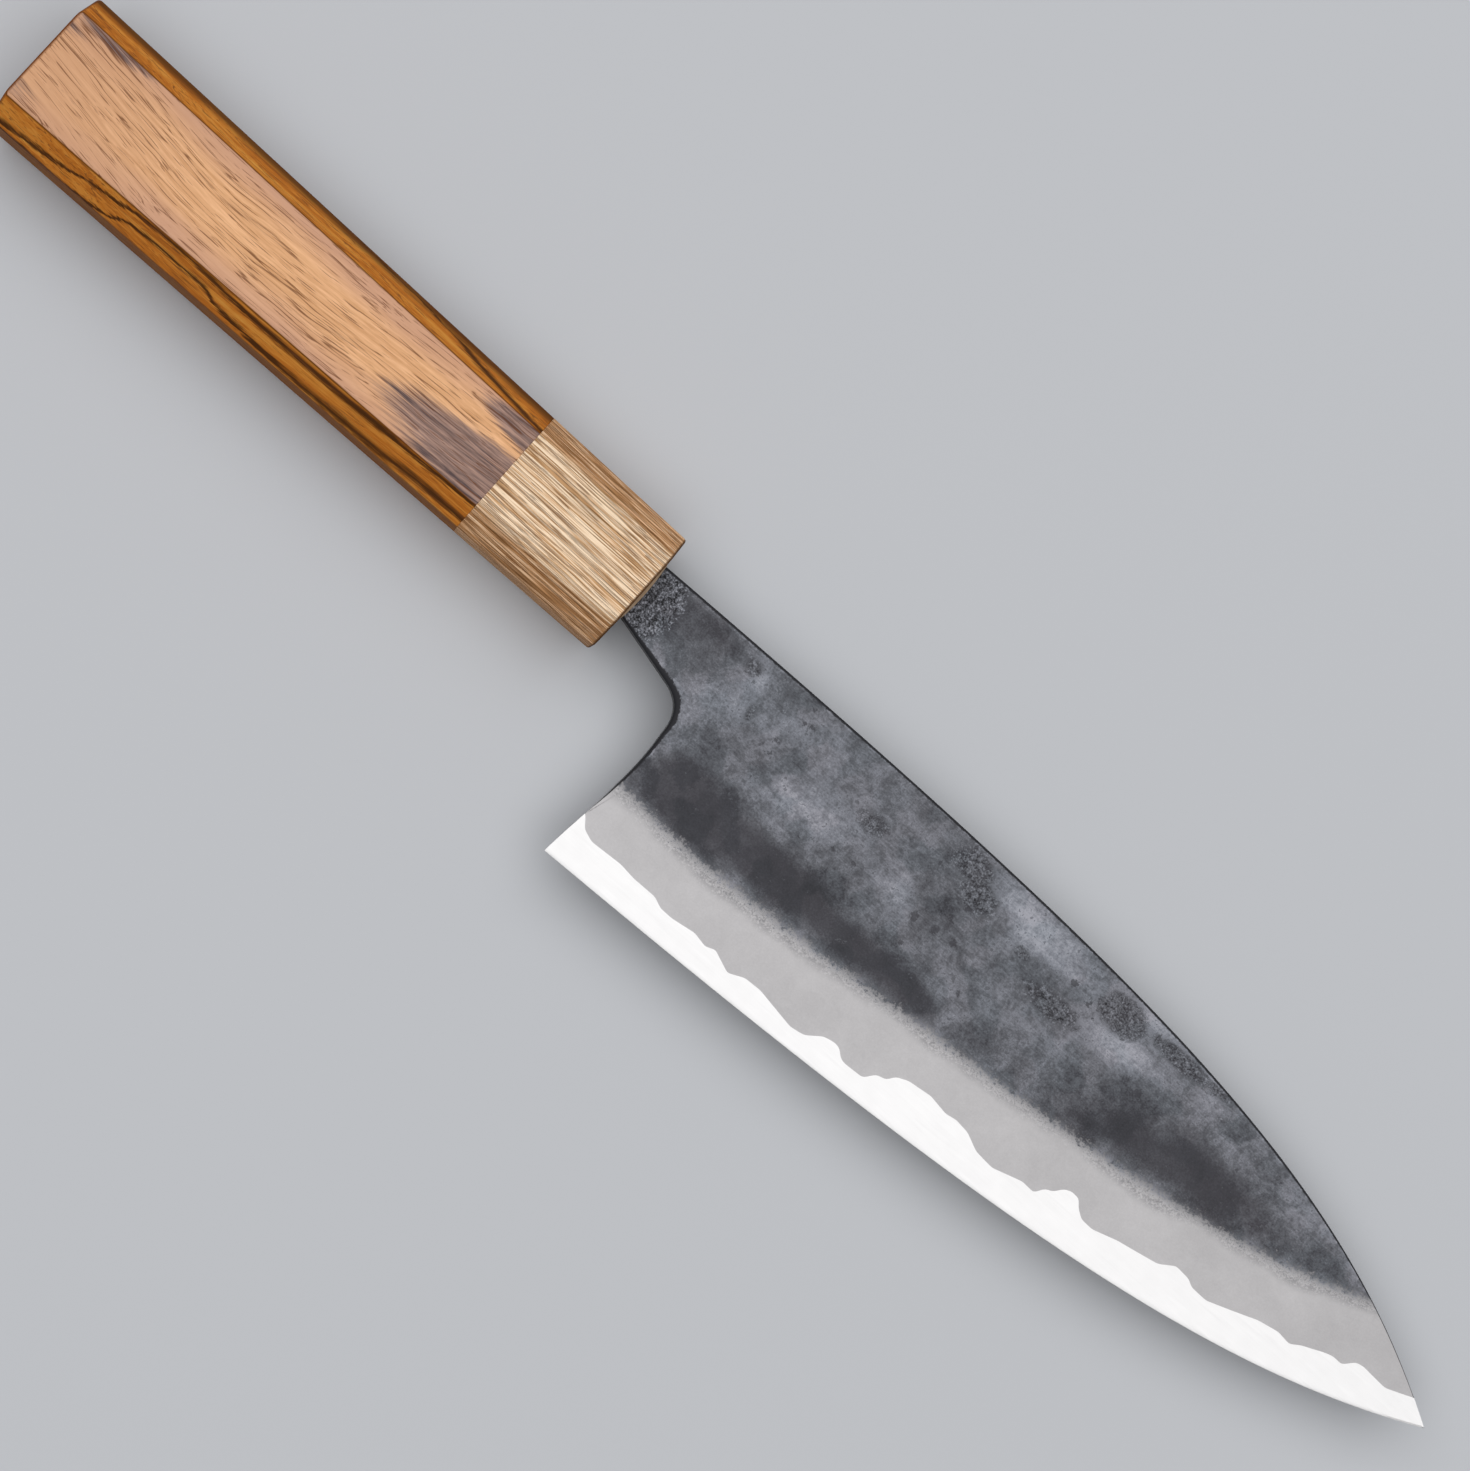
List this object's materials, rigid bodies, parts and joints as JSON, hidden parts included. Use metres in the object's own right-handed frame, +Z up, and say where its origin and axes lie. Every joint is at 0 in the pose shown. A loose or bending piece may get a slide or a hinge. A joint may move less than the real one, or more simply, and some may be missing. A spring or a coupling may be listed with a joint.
{
  "type": "kitchen knife",
  "caption": "Laminated kitchen knife with forge-black flats, a ground bevel, a wavy weld line above a bright edge and an eight-sided wooden handle with a pale ferrule.",
  "frame": {"origin": "on the surface that the knife lies on with its right face up, under the middle of its box", "axes": "+X along the handle's axis towards the tip, +Y from the edge towards the spine, +Z up out of the blade's right face"},
  "size_m": [0.299, 0.0512, 0.0196],
  "materials": {
    "carbon_steel_core": "ground and polished on fine stones, near mirror bright",
    "forged_soft_iron": "blue-black forge scale on the flats, matt ground grey on the bevel",
    "ferrule_wood": "pale straight-grained wood, satin",
    "handle_wood": "orange-brown wood with dark streaks, satin lacquer",
    "dowel_wood": "plain pale wood, hidden",
    "resin": "set resin, tan"
  },
  "bodies": {
    "root": {"core_steel": "carbon_steel_core", "right_cladding": "forged_soft_iron", "left_cladding": "forged_soft_iron", "ferrule": "ferrule_wood", "handle_body": "handle_wood", "dowel": "dowel_wood", "tang_seal": "resin"}
  },
  "joints": []
}
